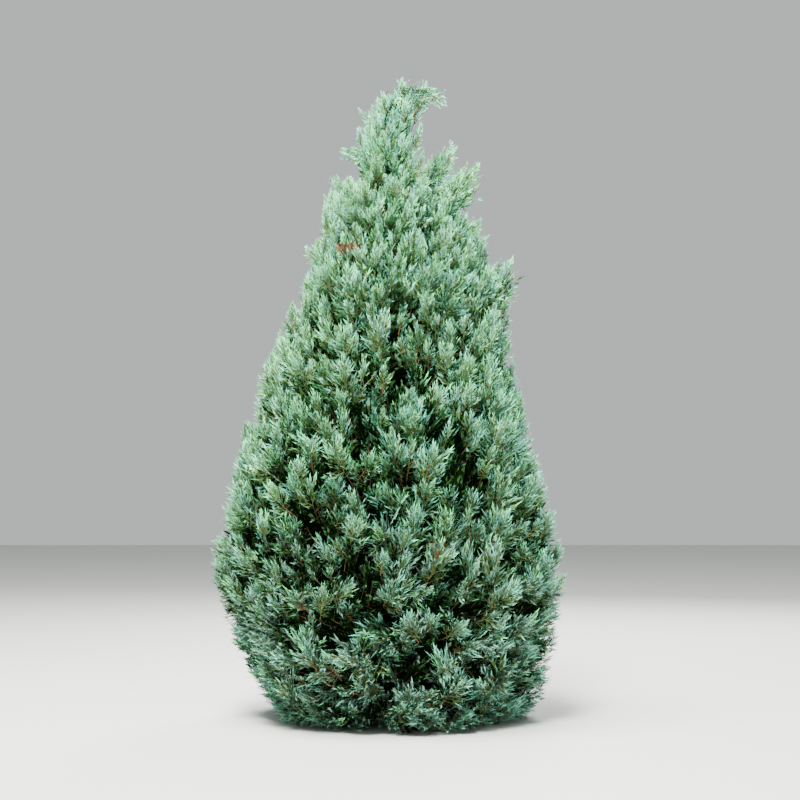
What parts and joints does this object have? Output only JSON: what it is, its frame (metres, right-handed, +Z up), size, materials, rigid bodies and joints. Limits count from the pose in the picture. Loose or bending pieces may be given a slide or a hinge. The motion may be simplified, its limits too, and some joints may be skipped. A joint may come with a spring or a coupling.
{
  "type": "cypress tree",
  "caption": "Tear-shaped garden cypress, clothed to the ground in feathery blue-green sprays round one straight tapering trunk, with a spiky outline and a slim leader.",
  "frame": {"origin": "middle of the flat cut under the trunk, at ground level", "axes": "+Z up along the trunk, -Y towards the onlooker, +X to the onlooker's right"},
  "size_m": [2.3955, 2.3743, 4.5],
  "materials": {
    "bark": "reddish-brown fibrous bark in long vertical strips, matt",
    "foliage": "glaucous blue-green scale leaves in flat feathery sprays, paler at the tips, matt"
  },
  "bodies": {
    "root": {"trunk": "bark", "bough_skirt_1": "bark", "foliage_skirt_1": "foliage", "bough_skirt_2": "bark", "foliage_skirt_2": "foliage", "bough_skirt_3": "bark", "foliage_skirt_3": "foliage", "bough_skirt_4": "bark", "foliage_skirt_4": "foliage", "bough_skirt_5": "bark", "foliage_skirt_5": "foliage", "bough_skirt_6": "bark", "foliage_skirt_6": "foliage", "bough_lower_1": "bark", "foliage_lower_1": "foliage", "bough_lower_2": "bark", "foliage_lower_2": "foliage", "bough_lower_3": "bark", "foliage_lower_3": "foliage", "bough_lower_4": "bark", "foliage_lower_4": "foliage", "bough_lower_5": "bark", "foliage_lower_5": "foliage", "bough_lower_6": "bark", "foliage_lower_6": "foliage", "bough_middle_1": "bark", "foliage_middle_1": "foliage", "bough_middle_2": "bark", "foliage_middle_2": "foliage", "bough_middle_3": "bark", "foliage_middle_3": "foliage", "bough_middle_4": "bark", "foliage_middle_4": "foliage", "bough_middle_5": "bark", "foliage_middle_5": "foliage", "bough_upper_1": "bark", "foliage_upper_1": "foliage", "bough_upper_2": "bark", "foliage_upper_2": "foliage", "bough_upper_3": "bark", "foliage_upper_3": "foliage", "bough_upper_4": "bark", "foliage_upper_4": "foliage", "bough_shoulder_1": "bark", "foliage_shoulder_1": "foliage", "bough_shoulder_2": "bark", "foliage_shoulder_2": "foliage", "bough_shoulder_3": "bark", "foliage_shoulder_3": "foliage", "bough_shoulder_4": "bark", "foliage_shoulder_4": "foliage", "foliage_neck_1": "foliage", "foliage_neck_2": "foliage", "foliage_neck_3": "foliage", "foliage_crest_1": "foliage", "foliage_crest_2": "foliage", "foliage_crest_3": "foliage", "foliage_leader": "foliage"}
  },
  "joints": []
}
